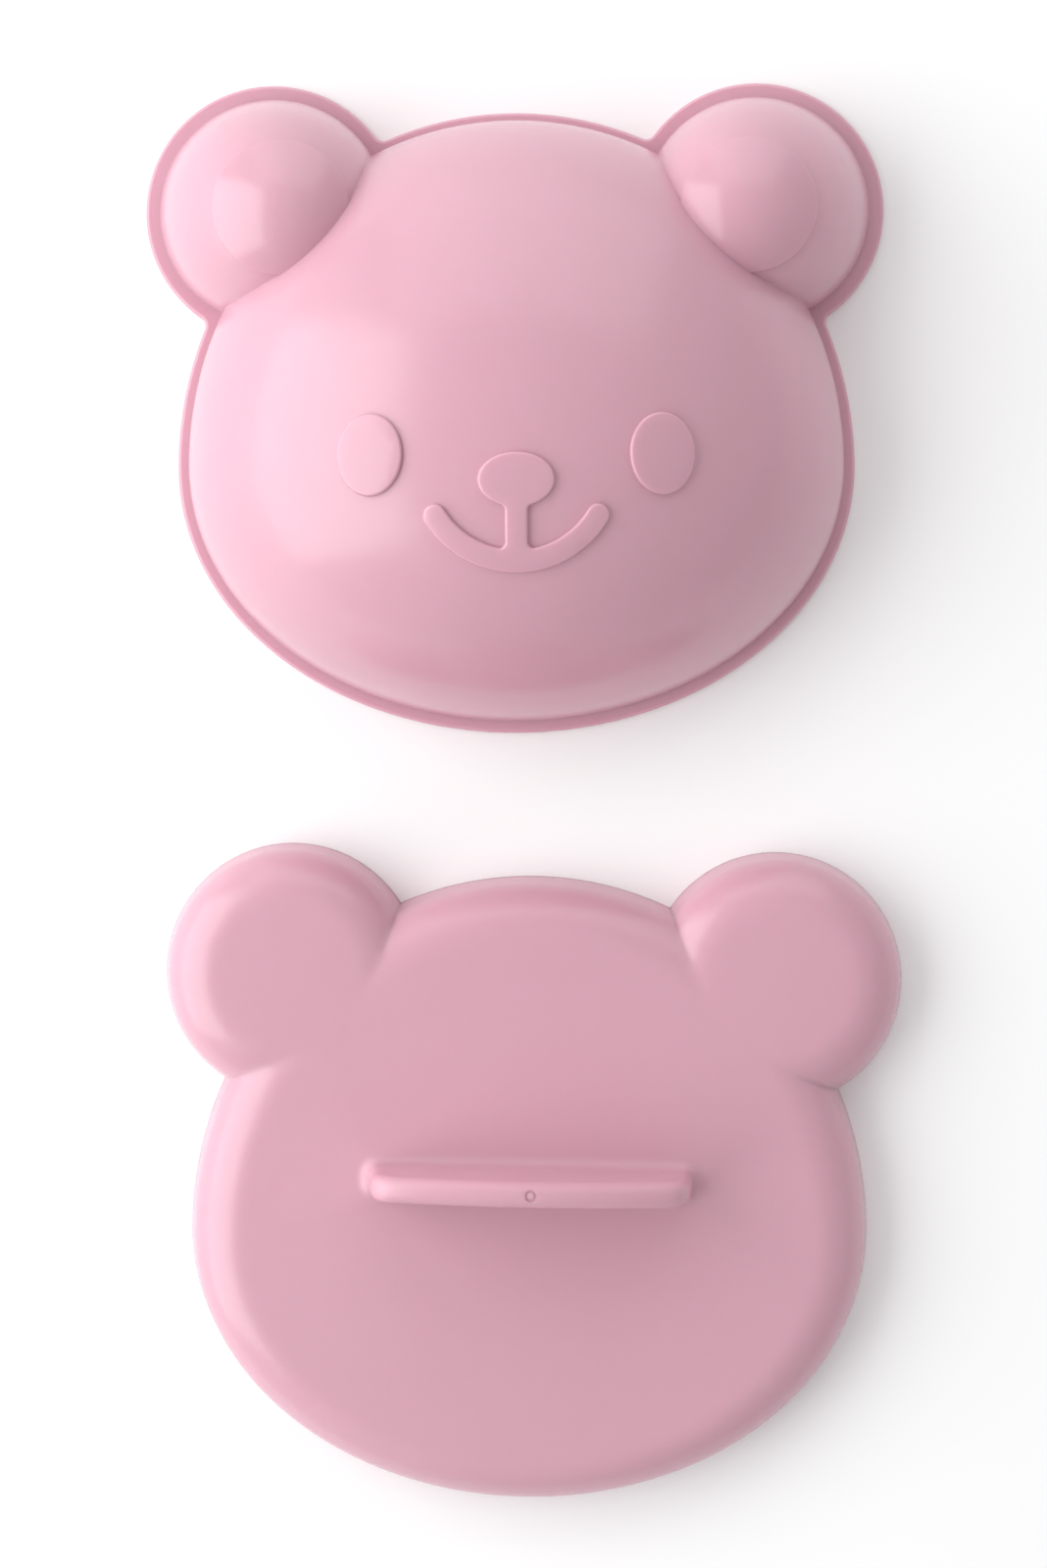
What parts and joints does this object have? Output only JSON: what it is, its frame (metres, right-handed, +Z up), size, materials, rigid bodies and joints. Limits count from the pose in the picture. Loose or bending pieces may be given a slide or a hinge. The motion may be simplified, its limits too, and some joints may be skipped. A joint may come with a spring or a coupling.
{
  "type": "rice mould press",
  "caption": "Bear-head rice mould: a deep domed shell with a flange, and a shallow hand press of the same outline with an upright blade grip.",
  "frame": {"origin": "middle of the two pieces' joint outline, on the surface that both lie on", "axes": "+Z up, away from the surface; +Y from the bear's chin to its ears; +X to the right of the face as seen from above"},
  "size_m": [0.1218, 0.2286, 0.0427],
  "materials": {
    "pink_plastic": "gloss"
  },
  "bodies": {
    "mould": {"rice_mould": "pink_plastic"},
    "press": {"press_lid": "pink_plastic"}
  },
  "joints": [
    {"name": "press_lift", "type": "slide", "parent": "mould", "child": "press", "axis": [0, 0, 1], "range_m": [0, 0.06]}
  ]
}
